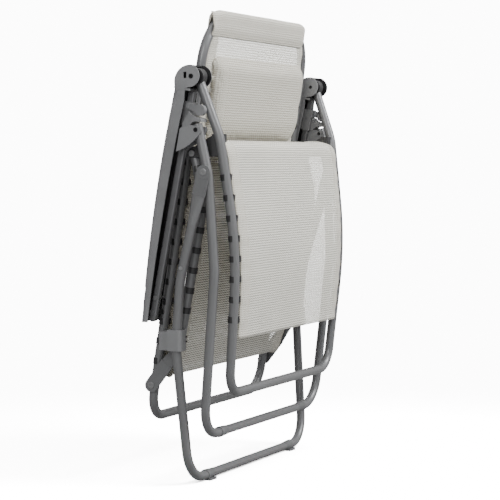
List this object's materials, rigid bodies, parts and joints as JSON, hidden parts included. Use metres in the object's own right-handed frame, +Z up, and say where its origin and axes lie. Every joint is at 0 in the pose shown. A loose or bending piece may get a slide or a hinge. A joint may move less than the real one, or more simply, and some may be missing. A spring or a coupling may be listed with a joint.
{
  "type": "zero gravity recliner",
  "caption": "Folding reclining garden chair in grey steel tube with a pale mesh sling, stored folded flat and upright; it unfolds on its linkage into a lounger with armrests.",
  "frame": {"origin": "on the ground midway between the two rear feet, below the axis of the rear crossbar", "axes": "+X across the chair, -Y the front of the folded stack where the legrest panel faces out, +Y its back with the armrests, +Z up"},
  "size_m": [0.692, 0.2257, 0.9945],
  "materials": {
    "frame_steel": "satin powder coat",
    "armrest_plastic": "fine matte grain",
    "clamp_plastic": "satin moulded",
    "dark_plastic": "matte moulded",
    "clip_plastic": "satin moulded",
    "foot_plastic": "matte, scuffed below",
    "rivet_steel": "painted over",
    "screw_steel": "black",
    "sling_mesh": "open woven mesh, matte",
    "pillow_mesh": "padded woven mesh, matte"
  },
  "bodies": {
    "rear_feet": {"rear_foot_left": "foot_plastic", "rear_foot_right": "foot_plastic"},
    "rear_leg_frame": {"rear_leg_left": "frame_steel", "rear_leg_right": "frame_steel", "leg_collar_left": "clamp_plastic", "leg_collar_right": "clamp_plastic", "rear_crossbar": "frame_steel", "collar_screws": "screw_steel", "leg_pivot_pins": "rivet_steel", "apex_rivets": "rivet_steel", "leg_buttons": "rivet_steel"},
    "front_leg_frame": {"front_leg_left": "frame_steel", "front_leg_right": "frame_steel", "front_crossbar": "frame_steel", "front_feet": "foot_plastic"},
    "seat": {"seat_tube_left": "frame_steel", "seat_tube_right": "frame_steel", "hip_rivets": "rivet_steel", "seat_clips": "clip_plastic", "sling_seat": "sling_mesh"},
    "backrest": {"backrest_bottom_loop": "frame_steel", "backrest_top_loop": "frame_steel", "backrest_side_left": "frame_steel", "backrest_side_right": "frame_steel", "armrest_brackets": "frame_steel", "backrest_clips": "clip_plastic", "sling_backrest": "sling_mesh", "sling_pocket": "sling_mesh", "headrest_pillow": "pillow_mesh"},
    "legrest": {"legrest_side_left": "frame_steel", "legrest_side_right": "frame_steel", "legrest_end_left": "dark_plastic", "legrest_end_right": "dark_plastic", "knee_bracket_left": "dark_plastic", "knee_bracket_right": "dark_plastic", "legrest_bottom_loop": "frame_steel", "knee_pins": "rivet_steel", "legrest_clips": "clip_plastic", "sling_legrest": "sling_mesh"},
    "armrest_left": {"armrest_shell_left": "armrest_plastic", "armrest_rod_left": "frame_steel", "armrest_screw_left": "screw_steel", "rod_rivet_left": "rivet_steel"},
    "clamp_left": {"slider_clamp_left": "clamp_plastic", "clamp_screw_left": "screw_steel", "lever_pin_left": "clamp_plastic"},
    "lever_left": {"lock_lever_left": "clamp_plastic"},
    "armrest_right": {"armrest_shell_right": "armrest_plastic", "armrest_rod_right": "frame_steel", "armrest_screw_right": "screw_steel", "rod_rivet_right": "rivet_steel"},
    "clamp_right": {"slider_clamp_right": "clamp_plastic", "clamp_screw_right": "screw_steel", "lever_pin_right": "clamp_plastic"},
    "lever_right": {"lock_lever_right": "clamp_plastic"}
  },
  "joints": [
    {"name": "unfold", "type": "hinge", "parent": "rear_feet", "child": "rear_leg_frame", "pos_m": [0, 0, 0.0115], "axis": [1, 0, 0], "range_deg": [0, 38.1]},
    {"name": "seat_pivot", "type": "hinge", "parent": "rear_leg_frame", "child": "seat", "pos_m": [0, 0.022, 0.306], "axis": [1, 0, 0], "range_deg": [0, 15.6]},
    {"name": "backrest_hinge", "type": "hinge", "parent": "seat", "child": "backrest", "pos_m": [0, 0.0945, 0.205], "axis": [-1, 0, 0], "range_deg": [0, 80]},
    {"name": "legrest_hinge", "type": "hinge", "parent": "seat", "child": "legrest", "pos_m": [0, -0.008, 0.693], "axis": [-1, 0, 0], "range_deg": [0, 80]},
    {"name": "front_leg_hinge", "type": "hinge", "parent": "rear_leg_frame", "child": "front_leg_frame", "pos_m": [0, -0.0535, 0.655], "axis": [-1, 0, 0], "range_deg": [0, 71]},
    {"name": "armrest_left_hinge", "type": "hinge", "parent": "backrest", "child": "armrest_left", "pos_m": [-0.3, 0.0755, 0.362], "axis": [1, 0, 0], "range_deg": [0, 80]},
    {"name": "clamp_left_slide", "type": "slide", "parent": "armrest_left", "child": "clamp_left", "axis": [0, -0.1931, 0.9812], "range_m": [0, 0.021]},
    {"name": "lock_lever_left", "type": "hinge", "parent": "clamp_left", "child": "lever_left", "pos_m": [-0.33, -0.0157, 0.78994], "axis": [-1, 0, 0], "range_deg": [0, 30]},
    {"name": "armrest_right_hinge", "type": "hinge", "parent": "backrest", "child": "armrest_right", "pos_m": [0.3, 0.0755, 0.362], "axis": [1, 0, 0], "range_deg": [0, 80]},
    {"name": "clamp_right_slide", "type": "slide", "parent": "armrest_right", "child": "clamp_right", "axis": [0, -0.1931, 0.9812], "range_m": [0, 0.021]},
    {"name": "lock_lever_right", "type": "hinge", "parent": "clamp_right", "child": "lever_right", "pos_m": [0.33, -0.0157, 0.78994], "axis": [-1, 0, 0], "range_deg": [0, 30]}
  ],
  "couplings": [
    {"joint": "seat_pivot", "follows": "unfold", "ratio": 0.4094},
    {"joint": "backrest_hinge", "follows": "unfold", "ratio": 2.0997},
    {"joint": "legrest_hinge", "follows": "unfold", "ratio": 2.0997},
    {"joint": "front_leg_hinge", "follows": "unfold", "ratio": 1.8635},
    {"joint": "armrest_left_hinge", "follows": "unfold", "ratio": 2.0997},
    {"joint": "clamp_left_slide", "follows": "unfold", "m_per_rad": 0.03158},
    {"joint": "armrest_right_hinge", "follows": "unfold", "ratio": 2.0997},
    {"joint": "clamp_right_slide", "follows": "unfold", "m_per_rad": 0.03158}
  ]
}
